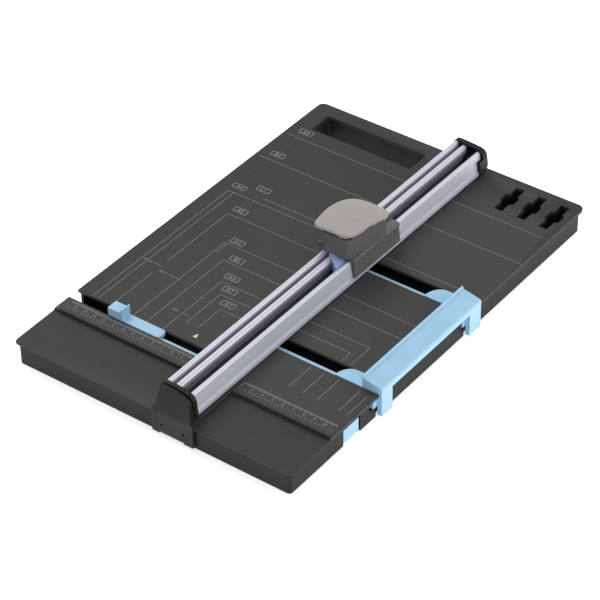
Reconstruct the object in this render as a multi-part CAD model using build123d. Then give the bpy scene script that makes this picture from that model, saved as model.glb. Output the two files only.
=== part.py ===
from build123d import *
import os
from math import acos, cos, pi, radians, sin, tan

# Rotary paper trimmer with linked centring guides.
# All shapes are drawn with X = 0 at the middle of the board, Y = 0 at the middle of its depth and
# Z = 0 on the working surface.  place() then moves them to the part's own frame, whose origin is
# under the middle of the whole object at the level the feet stand on.

# ---- driving dimensions, mm ----
BOARD_W = 277.0          # outer width of the board, along X
BOARD_D = 420.0          # outer depth of the board, along Y
BOARD_H = 23.2           # working surface down to the lower edge of the skirt
CORNER_R = 6.0
LIP = 3.0                # how far the top plate stands out past the skirt
PLATE_T = 2.5            # top plate
WALL_T = 2.5             # skirt wall
FOOT_GAP = 1.0           # skirt edge above the table
CUT_X = 24.6             # cutting line, right of the board's middle
STOP_Y = -156.6          # paper stop face
GAP = 0.3                # clearance between pieces that slide past each other
RUN = 0.05               # radial clearance of a running fit

# apron in front of the paper stop
STOP_T = 2.4
STOP_H = 2.0
APRON_BACK_Z = -1.5
APRON_FRONT_Z = -2.2
BED_X0, BED_X1 = 4.6, 43.2        # level bed left standing under the rail
TONGUE_X0, TONGUE_X1 = CUT_X - 20.6, CUT_X + 19.8   # the front cap's tongue over the board's front edge
MAT_HALF_W, MAT_END, MAT_T = 3.9, 189.9, 1.5

# hand hole and spare blade pockets
HAND_X0, HAND_X1, HAND_Y0, HAND_Y1 = -121.0, -14.7, 169.6, 195.2
HAND_WALL = 2.0
HAND_CORNER_R = 2.0
POCKET_X = 79.9
POCKET_PITCH = 22.4
POCKET_COUNT = 3
POCKET_W, POCKET_L = 8.4, 36.6
POCKET_Y = 182.3
LOBE_W, LOBE_L = 13.8, 12.0
POCKET_DEPTH = 14.0
POCKET_WALL = 1.6

# centring guides
LEFT_SLOT_Y0, LEFT_SLOT_Y1 = -140.5, -129.3
FRONT_SLOT_Y0, FRONT_SLOT_Y1 = -95.1, -80.0
REAR_SLOT_Y0, REAR_SLOT_Y1 = 28.6, 45.3
LEFT_SLOT_END = 20.0
RACK_NOTCH_Y0, RACK_NOTCH_Y1 = -138.6, -116.0   # opening in the right wall for the left guide's rack
RIGHT_SLOT_END = 33.0
MODULE = 1.5
PINION_TEETH = 20
PINION_Y = -117.0
TOOTH_BACKLASH = 0.25
PRESSURE = radians(20)            # pressure angle of the teeth
TIP = MODULE - 0.1                # from the pitch line to the tip
ROOT = 1.25 * MODULE              # from the pitch line to the root
POST_R, HUB_R = 3.0, 5.5          # the pinion's post, and the hub above its teeth
RACK_Z0, RACK_Z1 = -12.0, -8.0    # layer of the racks' teeth and of the pinion
RACK_FRONT_Y = -143.5             # front of the left rack
LEFT_STRIP_W, RIGHT_STRIP_W = 5.2, 5.6   # width of the strips that show along the slots' near edges
UNDER_TOP = -PLATE_T - GAP
TAB_Z0, TAB_Z1 = -3.0, 0.4        # tabs that slide in the slots, flush with the board
RACK_X0, ARM_X0 = -97.0, -31.0    # left ends of the left rack and of the right guide's arms
FENCE_X = 122.2                   # right fence, its face towards the paper
BAR_X1 = 141.0
BAR_T = 2.0
FENCE_H, BAR_INNER_H, BAR_OUTER_H = 12.0, 9.6, 6.2
LEG_T = 4.4
LEG_BOTTOM = -20.9
LEFT_BLOCK_X0, LEFT_FENCE_X = -97.2, -82.6
LEFT_FENCE_H, LEFT_BLOCK_H = 10.5, 7.6
LEFT_TAB_X1, LEFT_TAB_R = -45.0, 3.2      # rounded right end of the left tab
TAB_NOSE = 14.0                   # from the right fence to where its tabs' noses begin

# rail
RAIL_Y0, RAIL_Y1 = -198.4, 201.0
MILL_Y, MILL_Z = 195.0, 14.0      # the rail's rear end is milled away below this, over the hinge
RAIL_Z0 = 1.2
RIDGE_TOP = 21.6                  # inner ridge that the head glides on
CAP_RIM_Y = -202.3                # front of the front cap's rim
TENON_L = 8.0                     # how far the caps' tenons reach into the rail's chambers
FRONT_CAP_TOP = (24.6, 22.0)      # height at the left and at the right
REAR_CAP_TOP = (24.0, 21.8)
HINGE_Y, HINGE_Z = 200.5, 8.0
LUG_CLEAR_R = 5.0                 # room in the rear cap round the hinge lugs
HINGE_PIN_R = 2.0
REAR_CAP_R = 7.0
LUG_X, LUG_R, LUG_HALF_T = 9.0, 3.7, 1.8   # the bracket's two lugs
BRACKET_Y0, BRACKET_Y1 = 189.5, 204.4
BRACKET_SCREW_X, BRACKET_SCREW_Y = 16.0, 193.0
PIN_HALF_L = 13.0

# carriage and press head
HEAD_Y0, HEAD_Y1 = 6.0, 55.0
HEAD_X0, HEAD_X1 = 6.6, 39.5
BODY_Z0, BODY_Z1 = 23.6, 42.4
HEAD_PIN_X, HEAD_PIN_Z, HEAD_PIN_R = 9.4, 29.2, 2.4
SKIRT_Y0, SKIRT_Y1 = 9.6, 74.0
SLIDE_TOP = 26.2                  # top of the slider, where the springs stand
PRESS = 2.5                       # how far the pad is pushed down to cut
PAD_Z0, PAD_Z1 = BODY_Z1 + PRESS + 0.5, 49.4
PAD_PLAN = [(1.3, 9.0), (-0.6, 21.0), (-0.7, 33.0), (1.4, 42.5), (6.2, 50.0), (13.0, 54.4),
            (22.5, 56.0), (34.0, 55.8), (42.6, 54.0), (45.0, 49.6), (42.6, 38.0), (40.6, 25.0),
            (38.4, 12.0), (34.0, 6.2), (20.0, 4.9), (5.0, 5.1)]
SPRING_R, SPRING_WIRE_R, SPRING_SPREAD = 3.2, 0.4, 14.0
NOSE_Y, NOSE_TOP = -5.2, 23.3
BLADE_R = 14.0
BLADE_T = 0.4
BLADE_Y, BLADE_Z = 31.0, 16.8
AXLE_R = 2.0
CARTRIDGE_X1 = CUT_X + 6.0        # where the cartridge's lid begins
LID_T = 1.2
CARTRIDGE_TOP, CARTRIDGE_WAIST, CARTRIDGE_LOW = 29.0, 20.5, 6.2
CARTRIDGE_HALF, CARTRIDGE_LOW_HALF = 21.5, 12.5

# underside
COVER_T = 1.5
COVER_Z0 = -BOARD_H + 0.2
COVER_SCREWS = [(x, y) for x in (-126, 126) for y in (-190, -60, 130)]
BOSS_R, SCREW_R, SCREW_HEAD_R = 3.2, 1.3, 2.6
CROSS_L, CROSS_W, CROSS_DEPTH = 1.5, 0.3, 0.6   # half lengths of the recess's arms, and its depth
FOOT_R = 7.0
FEET = [(x, y) for x in (-112, 112) for y in (-178, 150)]
COVER_HEAD_H, COVER_SCREW_L = 0.9, 11.0
KEEPER_HEAD_H, KEEPER_SCREW_L = 1.2, 9.0
KEEPER_T = 2.1
FRONT_KEEPER = (-46, 74, -145.5, -90.5)   # x and y of its sides
REAR_KEEPER = (-30, 74, 12.5, 33.0)
KEEPER_Z1 = RACK_Z0 - GAP
FRONT_KEEPER_SCREWS = [(-36, PINION_Y), (66, PINION_Y)]
REAR_KEEPER_SCREWS = [(-22, 18), (66, 18)]

SHIFT_X = (BAR_X1 - BOARD_W / 2) / 2
PITCH_R = MODULE * PINION_TEETH / 2
TOOTH_PITCH = pi * MODULE


def place(shape):
    return Pos(-SHIFT_X, 0, BOARD_H + FOOT_GAP) * shape


def save(name, shape):
    export_step(place(shape), f"parts/{name}.step")


def block(x0, x1, y0, y1, z0, z1):
    return Pos((x0 + x1) / 2, (y0 + y1) / 2, (z0 + z1) / 2) * Box(x1 - x0, y1 - y0, z1 - z0)


def slab(x0, x1, y0, y1, z0, z1, r):
    outline = Pos((x0 + x1) / 2, (y0 + y1) / 2, z0) * RectangleRounded(x1 - x0, y1 - y0, r)
    return extrude(outline, z1 - z0)


def rod_z(x, y, z0, z1, r):
    return Pos(x, y, (z0 + z1) / 2) * Cylinder(r, z1 - z0)


def rod_x(x0, x1, y, z, r):
    return Pos((x0 + x1) / 2, y, z) * Rot(0, 90, 0) * Cylinder(r, x1 - x0)


def rod_y(x, z, y0, y1, r):
    return Pos(x, (y0 + y1) / 2, z) * Rot(90, 0, 0) * Cylinder(r, y1 - y0)


def along_y(points, y0, y1):
    """A section given as (x, z) points, drawn out from y0 to y1."""
    face = make_face(Polyline(*[(x, y0, z) for x, z in points], close=True))
    return extrude(face, amount=y1 - y0, dir=(0, 1, 0))


def profile_y(start, steps, y0, y1):
    """A section drawn out from y0 to y1: straight steps are (x, z), arcs are (mid x, mid z, x, z)."""
    here, edges = start, []
    for step in steps + [start]:
        a, b = (here[0], y0, here[1]), (step[-2], y0, step[-1])
        edges.append(Line(a, b) if len(step) == 2 else ThreePointArc(a, (step[0], y0, step[1]), b))
        here = step[-2:]
    return extrude(make_face(edges), amount=y1 - y0, dir=(0, 1, 0))


def shifted(steps, dx):
    """Moves section steps, whose even places are x values, by dx."""
    return [tuple(v + dx if i % 2 == 0 else v for i, v in enumerate(step)) for step in steps]


def along_x(points, x0, x1):
    """A section given as (y, z) points, drawn out from x0 to x1."""
    face = make_face(Polyline(*[(x0, y, z) for y, z in points], close=True))
    return extrude(face, amount=x1 - x0, dir=(1, 0, 0))


def along_z(points, z0, z1):
    face = make_face(Polyline(*[(x, y, z0) for x, y in points], close=True))
    return extrude(face, amount=z1 - z0, dir=(0, 0, 1))


def upright_edges(shape):
    return shape.edges().filter_by(Axis.Z)


# ---- base ----
def deck_tray():
    half_w, half_d = BOARD_W / 2, BOARD_D / 2
    plate = slab(-half_w, half_w, -half_d, half_d, -PLATE_T, 0, CORNER_R)
    skirt = slab(-half_w + LIP, half_w - LIP, -half_d + LIP, half_d - LIP, -BOARD_H, -PLATE_T,
                 CORNER_R - LIP)
    inner = LIP + WALL_T
    hollow = slab(-half_w + inner, half_w - inner, -half_d + inner, half_d - inner, -BOARD_H, -PLATE_T,
                  1.0)
    return plate + (skirt - hollow)


def apron_cut():
    """The lower apron in front of the paper stop, falling a little to the front edge."""
    front, back = -BOARD_D / 2 - 1, STOP_Y - STOP_T
    fall = along_x([(back, APRON_BACK_Z), (back, 3), (front, 3), (front, APRON_FRONT_Z)],
                   -BOARD_W / 2 - 1, BOARD_W / 2 + 1)
    return fall - block(BED_X0, BED_X1, front, back, -5, 4)


def apron_floor():
    """Keeps the apron as thick as the rest of the plate."""
    return (block(-BOARD_W / 2 + LIP + 1, BOARD_W / 2 - LIP - 1, -BOARD_D / 2 + LIP + 1,
                  STOP_Y - STOP_T + PLATE_T, -PLATE_T - 2, -PLATE_T))


def stop_rib():
    back = STOP_Y
    left = block(-BOARD_W / 2 + 5, BED_X0 - 1, back - STOP_T, back, -PLATE_T, STOP_H)
    right = block(BED_X1 + 1, BOARD_W / 2 - 2.2, back - STOP_T, back, -PLATE_T, STOP_H)
    return left + right


def slot_cuts():
    edge, wall = BOARD_W / 2 + 1, BOARD_W / 2 - 8   # outside the plate and just inside the skirt
    left = block(-edge, LEFT_SLOT_END, LEFT_SLOT_Y0, LEFT_SLOT_Y1, -PLATE_T - 1, 1)
    left += block(-edge, -wall, -144.0, LEFT_SLOT_Y1, RACK_Z0 - 1, -PLATE_T)
    front = block(RIGHT_SLOT_END, edge, FRONT_SLOT_Y0, FRONT_SLOT_Y1, -PLATE_T - 1, 1)
    rear = block(RIGHT_SLOT_END, edge, REAR_SLOT_Y0, REAR_SLOT_Y1, -PLATE_T - 1, 1)
    front += block(wall, edge, FRONT_SLOT_Y0, FRONT_SLOT_Y1, -BOARD_H - 1, -PLATE_T)
    rear += block(wall, edge, REAR_SLOT_Y0, REAR_SLOT_Y1, -BOARD_H - 1, -PLATE_T)
    rear += block(wall, edge, 24.6, REAR_SLOT_Y0, RACK_Z0 - 1, -PLATE_T)
    front += block(wall, edge, -104.0, FRONT_SLOT_Y0, RACK_Z0 - 1, -PLATE_T)
    rack_end = block(wall, edge, RACK_NOTCH_Y0, RACK_NOTCH_Y1, -BOARD_H - 1, RACK_Z1 + GAP)
    return left + front + rear + rack_end


def pocket_outline(x, z0, z1, grow=0.0):
    long = block(x - POCKET_W / 2 - grow, x + POCKET_W / 2 + grow, POCKET_Y - POCKET_L / 2 - grow,
                 POCKET_Y + POCKET_L / 2 + grow, z0, z1)
    lobe = slab(x - LOBE_W / 2 - grow, x + LOBE_W / 2 + grow, POCKET_Y - LOBE_L / 2 - grow,
                POCKET_Y + LOBE_L / 2 + grow, z0, z1, 2.0)
    return long + lobe


def pocket_xs():
    return [POCKET_X + i * POCKET_PITCH for i in range(POCKET_COUNT)]


def deck_bosses():
    spots = [(x, y, COVER_Z0 + COVER_T) for x, y in COVER_SCREWS]
    spots += [(x, y, KEEPER_Z1) for x, y in FRONT_KEEPER_SCREWS + REAR_KEEPER_SCREWS]
    bosses = Part()
    for x, y, z0 in spots:
        bosses += rod_z(x, y, z0, -PLATE_T, BOSS_R) - rod_z(x, y, z0, -PLATE_T - 1, SCREW_R + RUN)
    return bosses


def bracket_screw_xs():
    return CUT_X - BRACKET_SCREW_X, CUT_X + BRACKET_SCREW_X


def hinge_window():
    return block(CUT_X - 11.5, CUT_X + 11.5, 196.2, 204.6, -PLATE_T - 1, 1)


def top_deck():
    deck = deck_tray() + apron_floor()
    for x in pocket_xs():
        deck += pocket_outline(x, -POCKET_DEPTH - POCKET_WALL, -PLATE_T, POCKET_WALL)
    deck += block(HAND_X0 - HAND_WALL, HAND_X1 + HAND_WALL, HAND_Y0 - HAND_WALL, HAND_Y1 + HAND_WALL,
                  COVER_Z0 + COVER_T, -PLATE_T)
    deck -= apron_cut()
    deck += stop_rib()
    deck -= slot_cuts()
    for x in pocket_xs():
        deck -= pocket_outline(x, -POCKET_DEPTH, 1)
    deck -= slab(HAND_X0, HAND_X1, HAND_Y0, HAND_Y1, -BOARD_H, 1, HAND_CORNER_R)
    deck -= block(CUT_X - MAT_HALF_W - 0.1, CUT_X + MAT_HALF_W + 0.1, -MAT_END - 0.1, MAT_END + 0.1,
                  -MAT_T, 1)
    deck -= hinge_window()
    deck -= block(TONGUE_X0 - 0.4, TONGUE_X1 + 0.4, -BOARD_D / 2 - 1, -BOARD_D / 2 + LIP, -5, 1)
    for x in bracket_screw_xs():
        deck -= rod_z(x, BRACKET_SCREW_Y, -PLATE_T - 1, 0.5, SCREW_R + RUN)
    return deck + deck_bosses()


def bottom_cover():
    inner = LIP + WALL_T + 0.1
    z0, z1 = COVER_Z0, COVER_Z0 + COVER_T
    cover = slab(-BOARD_W / 2 + inner, BOARD_W / 2 - inner, -BOARD_D / 2 + inner,
                 BOARD_D / 2 - inner, z0, z1, 1.0)
    cover -= slab(HAND_X0, HAND_X1, HAND_Y0, HAND_Y1, z0 - 1, z1 + 1, HAND_CORNER_R)
    for x, y in COVER_SCREWS:
        cover -= rod_z(x, y, z0 - 1, z1 + 1, SCREW_R + RUN)
        cover -= rod_z(x, y, z0 - 1, z0 + COVER_HEAD_H, SCREW_HEAD_R + RUN)
    return cover


def screw(x, y, head_z0, head_h, tip_z):
    """A screw with its head down and a cross recess in the head."""
    body = rod_z(x, y, head_z0, head_z0 + head_h, SCREW_HEAD_R) + rod_z(x, y, head_z0, tip_z, SCREW_R)
    for arm_x, arm_y in ((CROSS_L, CROSS_W), (CROSS_W, CROSS_L)):
        body -= block(x - arm_x, x + arm_x, y - arm_y, y + arm_y, head_z0 - 1, head_z0 + CROSS_DEPTH)
    return body


def group(shapes):
    return Compound(children=list(shapes))


def cover_screws():
    tip = COVER_Z0 + COVER_SCREW_L
    return group(screw(x, y, COVER_Z0, COVER_HEAD_H, tip) for x, y in COVER_SCREWS)


def keeper_screw(x, y):
    z0 = KEEPER_Z1 - KEEPER_T - KEEPER_HEAD_H
    return screw(x, y, z0, KEEPER_HEAD_H, z0 + KEEPER_SCREW_L)


def keeper_screws():
    return group(keeper_screw(x, y) for x, y in FRONT_KEEPER_SCREWS + REAR_KEEPER_SCREWS)


def rubber_feet():
    z0 = -BOARD_H - FOOT_GAP
    feet = []
    for x, y in FEET:
        foot = rod_z(x, y, z0, COVER_Z0, FOOT_R)
        feet.append(chamfer(foot.edges().group_by(Axis.Z)[0], 0.4))
    return group(feet)


def cutting_mat():
    return block(CUT_X - MAT_HALF_W, CUT_X + MAT_HALF_W, -MAT_END, MAT_END, -MAT_T, 0)


def front_keeper():
    z0, z1 = KEEPER_Z1 - KEEPER_T, KEEPER_Z1
    x0, x1, y0, _ = FRONT_KEEPER
    plate = block(*FRONT_KEEPER, z0, z1) + block(x0, x1, y0, y0 + 1.6, z1, UNDER_TOP + GAP)
    for x, y in FRONT_KEEPER_SCREWS + [(CUT_X, PINION_Y)]:
        plate -= rod_z(x, y, z0 - 1, z1 + 1, SCREW_R + RUN)
    return plate


def rear_keeper():
    z0, z1 = KEEPER_Z1 - KEEPER_T, KEEPER_Z1
    plate = block(*REAR_KEEPER, z0, z1)
    for x, y in REAR_KEEPER_SCREWS:
        plate -= rod_z(x, y, z0 - 1, z1 + 1, SCREW_R + RUN)
    return plate


# ---- guide drive ----
def involute_tooth():
    """One pinion tooth about +Y, as (x, y) points from root to root."""
    base_r = PITCH_R * cos(PRESSURE)
    root_r, tip_r = PITCH_R - ROOT, PITCH_R + TIP
    half = (TOOTH_PITCH / 2 - TOOTH_BACKLASH) / (2 * PITCH_R)
    spread = half + tan(PRESSURE) - PRESSURE
    flank = []
    for i in range(6):
        r = base_r + (tip_r - base_r) * i / 5
        a = acos(base_r / r)
        flank.append((r, spread - (tan(a) - a)))
    flank.insert(0, (root_r, spread))
    right = [(r * sin(t), r * cos(t)) for r, t in flank]
    left = [(-x, y) for x, y in right]
    return left + right[::-1]


def pinion():
    wheel = rod_z(CUT_X, PINION_Y, RACK_Z0, RACK_Z1, PITCH_R - ROOT + 0.02)
    tooth = along_z(involute_tooth(), RACK_Z0, RACK_Z1)
    for i in range(PINION_TEETH):
        wheel += Pos(CUT_X, PINION_Y, 0) * Rot(0, 0, i * 360 / PINION_TEETH) * tooth
    wheel += rod_z(CUT_X, PINION_Y, RACK_Z1, UNDER_TOP, HUB_R)
    return wheel - rod_z(CUT_X, PINION_Y, RACK_Z0 - 1, 0, POST_R + RUN)


def pinion_post():
    post = rod_z(CUT_X, PINION_Y, KEEPER_Z1, -PLATE_T, POST_R)
    return post - rod_z(CUT_X, PINION_Y, KEEPER_Z1 - 1, -PLATE_T - 0.8, SCREW_R + RUN)


def pinion_screw():
    return keeper_screw(CUT_X, PINION_Y)


def rack_teeth(first_x, last_x, pitch_y, side):
    """Straight teeth on a pitch line; side is +1 where they point to +Y.  A gap faces the pinion."""
    slope = tan(PRESSURE)
    half = (TOOTH_PITCH / 2 - TOOTH_BACKLASH) / 2
    teeth = Part()
    start = int((first_x - CUT_X) / TOOTH_PITCH)
    for i in range(start, int((last_x - CUT_X) / TOOTH_PITCH)):
        x = CUT_X + (i + 0.5) * TOOTH_PITCH
        low, high = half + ROOT * slope, half - TIP * slope
        y_low, y_high = pitch_y - side * (ROOT + 0.02), pitch_y + side * TIP
        teeth += along_z([(x - low, y_low), (x + low, y_low), (x + high, y_high), (x - high, y_high)],
                         RACK_Z0, RACK_Z1)
    return teeth


def left_rack():
    pitch_y = PINION_Y - PITCH_R
    root_y = pitch_y - ROOT
    end, narrow_from = BOARD_W / 2 - LIP, 76.0
    front = RACK_NOTCH_Y0 + GAP
    body = block(RACK_X0, narrow_from, RACK_FRONT_Y, root_y, RACK_Z0, RACK_Z1)
    body += block(RACK_X0, narrow_from, RACK_FRONT_Y, LEFT_SLOT_Y0 + LEFT_STRIP_W, RACK_Z1, UNDER_TOP)
    body += block(narrow_from, end, front, root_y, RACK_Z0, RACK_Z1)
    body += block(end - LEG_T, end, front, RACK_NOTCH_Y1 - 2.3, LEG_BOTTOM, RACK_Z1)
    return body + rack_teeth(-42, 84, pitch_y, 1)


def left_guide():
    y0, y1 = LEFT_SLOT_Y0 + GAP, LEFT_SLOT_Y1 - GAP
    tab = slab(LEFT_BLOCK_X0, LEFT_TAB_X1, y0, y1, TAB_Z0, TAB_Z1, LEFT_TAB_R)
    stem = block(LEFT_BLOCK_X0, LEFT_FENCE_X, y0, y1, RACK_Z0, LEFT_BLOCK_H)
    fence = along_y([(LEFT_FENCE_X - 2.4, LEFT_BLOCK_H - 0.1), (LEFT_FENCE_X, LEFT_BLOCK_H - 0.1),
                     (LEFT_FENCE_X, LEFT_FENCE_H), (LEFT_FENCE_X - 1.0, LEFT_FENCE_H)], y0, y1)
    return tab + stem + fence + left_rack()


def arm(y0, slot_y0):
    """One sliding arm of the right guide, under the plate and along the slot's near edge."""
    x0, x1 = ARM_X0, BAR_X1 - LEG_T
    return block(x0, x1, y0, slot_y0 + RIGHT_STRIP_W, RACK_Z0, UNDER_TOP)


def guide_tab(slot_y0, slot_y1):
    y0, y1 = slot_y0 + GAP, slot_y1 - GAP
    nose_x = FENCE_X - TAB_NOSE
    flat = block(nose_x, BAR_X1 - LEG_T, y0, y1, TAB_Z0, TAB_Z1)
    nose = extrude(Pos(nose_x, y0, TAB_Z0) * Ellipse(12.0, y1 - y0), TAB_Z1 - TAB_Z0)
    nose &= block(nose_x - 13, nose_x + 1, y0, y1, TAB_Z0, TAB_Z1)
    return flat + nose


def guide_leg(slot_y0, slot_y1):
    return block(BAR_X1 - LEG_T, BAR_X1, slot_y0 + GAP, slot_y1 - GAP, LEG_BOTTOM, BAR_OUTER_H - 1)


def guide_bar():
    y0, y1 = FRONT_SLOT_Y0 + GAP, REAR_SLOT_Y1 - GAP
    inner_x = FENCE_X + BAR_T
    section = [(FENCE_X, TAB_Z1), (FENCE_X, FENCE_H), (FENCE_X + 0.8, FENCE_H),
               (FENCE_X + 1.6, BAR_INNER_H), (BAR_X1 - 1.2, BAR_OUTER_H), (BAR_X1, BAR_OUTER_H - 1.2),
               (BAR_X1, TAB_Z1), (BAR_X1 - 1.8, TAB_Z1), (BAR_X1 - 1.8, BAR_OUTER_H - 2.4),
               (inner_x, BAR_INNER_H - BAR_T), (inner_x, TAB_Z1)]
    bar = along_y(section, y0, y1)
    for end in (y0, y1 - BAR_T):
        bar += along_y([(FENCE_X, TAB_Z1), (FENCE_X, BAR_INNER_H - 0.5), (BAR_X1 - 1, BAR_OUTER_H - 1.5),
                        (BAR_X1 - 1, TAB_Z1)], end, end + BAR_T)
    return bar


def right_guide():
    guide = guide_bar()
    for slot in ((FRONT_SLOT_Y0, FRONT_SLOT_Y1), (REAR_SLOT_Y0, REAR_SLOT_Y1)):
        guide += guide_leg(*slot) + guide_tab(*slot)
        guide += block(BAR_X1 - LEG_T - 3, BAR_X1 - 1, slot[0] + GAP, slot[0] + 6, RACK_Z0, TAB_Z1)
    pitch_y = PINION_Y + PITCH_R
    root_y = pitch_y + ROOT
    guide += arm(root_y, FRONT_SLOT_Y0) + arm(25.0, REAR_SLOT_Y0)
    return guide + rack_teeth(-30, 88, pitch_y, -1)


# ---- rail ----
def milled_end():
    return block(0, 50, MILL_Y, RAIL_Y1 + 1, 0, MILL_Z)


def rail_left():
    """Left extrusion: slanted outer wall, two rounded ridges and the wall of the blade channel."""
    x = CUT_X
    outer = [(-16.2, RAIL_Z0), (-14.3, 21.0), (-12.2, 23.3, -10.1, 21.0), (-10.1, 13.0), (-7.2, 13.0),
             (-7.2, 19.6), (-4.4, RIDGE_TOP, -1.6, 19.6), (-1.6, 13.4), (-0.9, 13.0), (-0.9, 12.0),
             (-1.6, 11.6), (-1.6, RAIL_Z0)]
    outer = shifted(outer, x)
    section = profile_y(outer[0], outer[1:], RAIL_Y0, RAIL_Y1)
    left = [(-14.4, 3.0), (-12.9, 19.0), (-11.4, 19.0), (-11.4, 3.0)]
    right = [(-6.0, 3.0), (-6.0, 18.0), (-3.0, 18.0), (-3.0, 3.0)]
    for chamber in (left, right):
        section -= along_y([(x + u, z) for u, z in chamber], RAIL_Y0 - 1, RAIL_Y1 + 1)
    return section - milled_end()


def rail_right():
    """Right extrusion: tall slanted face with a grooved lower edge, and the foot under the channel."""
    x = CUT_X
    outer = [(1.5, RAIL_Z0), (1.5, 2.8), (8.1, 2.8), (8.1, 18.8), (10.2, 20.3, 12.1, 18.8), (14.2, 6.6),
             (13.6, 6.0, 14.1, 5.2), (14.7, 5.1), (14.2, 4.6, 14.8, 4.1), (15.4, 3.9), (15.6, RAIL_Z0)]
    outer = shifted(outer, x)
    section = profile_y(outer[0], outer[1:], RAIL_Y0, RAIL_Y1)
    chamber = [(9.6, 3.0), (9.6, 17.6), (10.9, 17.6), (12.6, 6.6), (12.6, 3.0)]
    section -= along_y([(x + u, z) for u, z in chamber], RAIL_Y0 - 1, RAIL_Y1 + 1)
    return section - milled_end()


def cap_face(x0, x1, tops, flare, y0, y1):
    """An end cap's rounded outline seen along the rail, drawn out from y0 to y1."""
    top_left, top_right = tops
    steps = [(x0, 19.0), (x0 + 0.9, top_left - 1.6, x0 + 3.6, top_left),
             (CUT_X + 1.5, top_left - 0.5, x1 - 7.5, top_right + 0.9),
             (x1 - 2.4, top_right - 1.2, x1, top_right - 6.5), (x1 + flare, 0.7)]
    return profile_y((x0 - flare, 0.7), steps, y0, y1)


def cap_tenons(y0, y1):
    x = CUT_X
    tenons = along_y([(x - 14.1, 3.2), (x - 12.7, 18.8), (x - 11.6, 18.8), (x - 11.6, 3.2)], y0, y1)
    tenons += along_y([(x - 5.8, 3.2), (x - 5.8, 17.8), (x - 3.2, 17.8), (x - 3.2, 3.2)], y0, y1)
    return tenons + along_y([(x + 9.8, 3.4), (x + 9.8, 16.4), (x + 10.8, 16.4), (x + 12.4, 6.6),
                             (x + 12.4, 3.4)], y0, y1)


def front_end_cap():
    front, reach = -BOARD_D / 2, 16.2
    groove_y, inset, groove = CAP_RIM_Y - 1.0, 1.0, 2.6

    def face(step_in, flare, y0, y1):
        tops = [top - step_in for top in FRONT_CAP_TOP]
        return cap_face(CUT_X - reach + step_in, CUT_X + reach - step_in, tops, flare, y0, y1)

    rim = face(0.0, 1.6, CAP_RIM_Y, RAIL_Y0)
    side = along_x([(CAP_RIM_Y, 0.0), (CAP_RIM_Y, 26), (groove_y - 0.6, 25.0), (front, 0.8),
                    (front, 0.0)], 0, 50)
    nose = face(inset, 3.0, front, CAP_RIM_Y) & side
    neck = face(groove, 3.0, groove_y, CAP_RIM_Y)
    cap = rim + (nose - (block(0, 50, groove_y, CAP_RIM_Y, 0, 26) - neck))
    return cap + front_tongue() + cap_tenons(RAIL_Y0, RAIL_Y0 + TENON_L)


def front_tongue():
    """Part of the front cap that hangs over the board's front edge, with two small holes."""
    front, x0, x1 = -BOARD_D / 2, TONGUE_X0, TONGUE_X1
    tongue = block(x0, x1, front, front + LIP - GAP, -21.8, 0.8)
    tongue -= block(x0 + 7, x1 - 9, front - 1, front + LIP, -23, -20.6)
    for x in (x0 + 8.5, x1 - 10.5):
        tongue -= block(x, x + 2.2, front - 1, front + 1.4, -14.0, -11.5)
    return tongue


def rear_end_cap():
    """Hinge barrel under the milled end of the rail, and a hood behind it that is hollow in front."""
    x0, x1 = CUT_X - 15.6, CUT_X + 15.8
    back = HINGE_Y + REAR_CAP_R
    face = cap_face(x0, x1, REAR_CAP_TOP, 1.6, MILL_Y, back)
    side = along_x([(MILL_Y, HINGE_Z), (MILL_Y, MILL_Z), (RAIL_Y1, MILL_Z), (RAIL_Y1, 27),
                    (back - 2.6, 27), (back - 0.6, 20.5), (back, HINGE_Z)], 0, 50)
    side += rod_x(0, 50, HINGE_Y, HINGE_Z, REAR_CAP_R)
    side += block(0, 50, MILL_Y, HINGE_Y, HINGE_Z - REAR_CAP_R, HINGE_Z)
    cap = (face & side) - block(0, 50, MILL_Y - 1, RAIL_Y1, MILL_Z, 27)
    cap -= block(CUT_X - 12.6, CUT_X + 8.4, RAIL_Y1 - 1, RAIL_Y1 + 3.4, MILL_Z + 0.6, 21.4)
    half = LUG_HALF_T + GAP
    for x in (CUT_X - LUG_X, CUT_X + LUG_X):
        cap -= block(x - half, x + half, HINGE_Y - 4.2, back + 1, -1, HINGE_Z)
        cap -= rod_x(x - half, x + half, HINGE_Y, HINGE_Z, LUG_CLEAR_R)
    return cap - hinge_pin() + cap_tenons(MILL_Y - TENON_L, MILL_Y)


def hinge_pin():
    return rod_x(CUT_X - PIN_HALF_L, CUT_X + PIN_HALF_L, HINGE_Y, HINGE_Z, HINGE_PIN_R)


def hinge_bracket():
    plate = block(CUT_X - 19, CUT_X + 19, BRACKET_Y0, BRACKET_Y1, -PLATE_T - 2.0, -PLATE_T)
    for x in bracket_screw_xs():
        plate -= rod_z(x, BRACKET_SCREW_Y, -10, 0, SCREW_R + RUN)
    for x in (CUT_X - LUG_X, CUT_X + LUG_X):
        sides = (x - LUG_HALF_T, x + LUG_HALF_T)
        lug = block(*sides, HINGE_Y - LUG_R, HINGE_Y + LUG_R, -PLATE_T - 0.5, HINGE_Z)
        lug += rod_x(*sides, HINGE_Y, HINGE_Z, LUG_R)
        plate += lug - rod_x(x - 3, x + 3, HINGE_Y, HINGE_Z, HINGE_PIN_R + RUN)
    return plate


def bracket_screws():
    return group(screw(x, BRACKET_SCREW_Y, -PLATE_T - 3.1, 1.1, -0.6) for x in bracket_screw_xs())


def grip_strips():
    return group(block(CUT_X + a, CUT_X + b, RAIL_Y0 + 6, MILL_Y - 6, 0.5, RAIL_Z0)
                 for a, b in ((-12.5, -6.5), (5.5, 11.5)))


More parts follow.
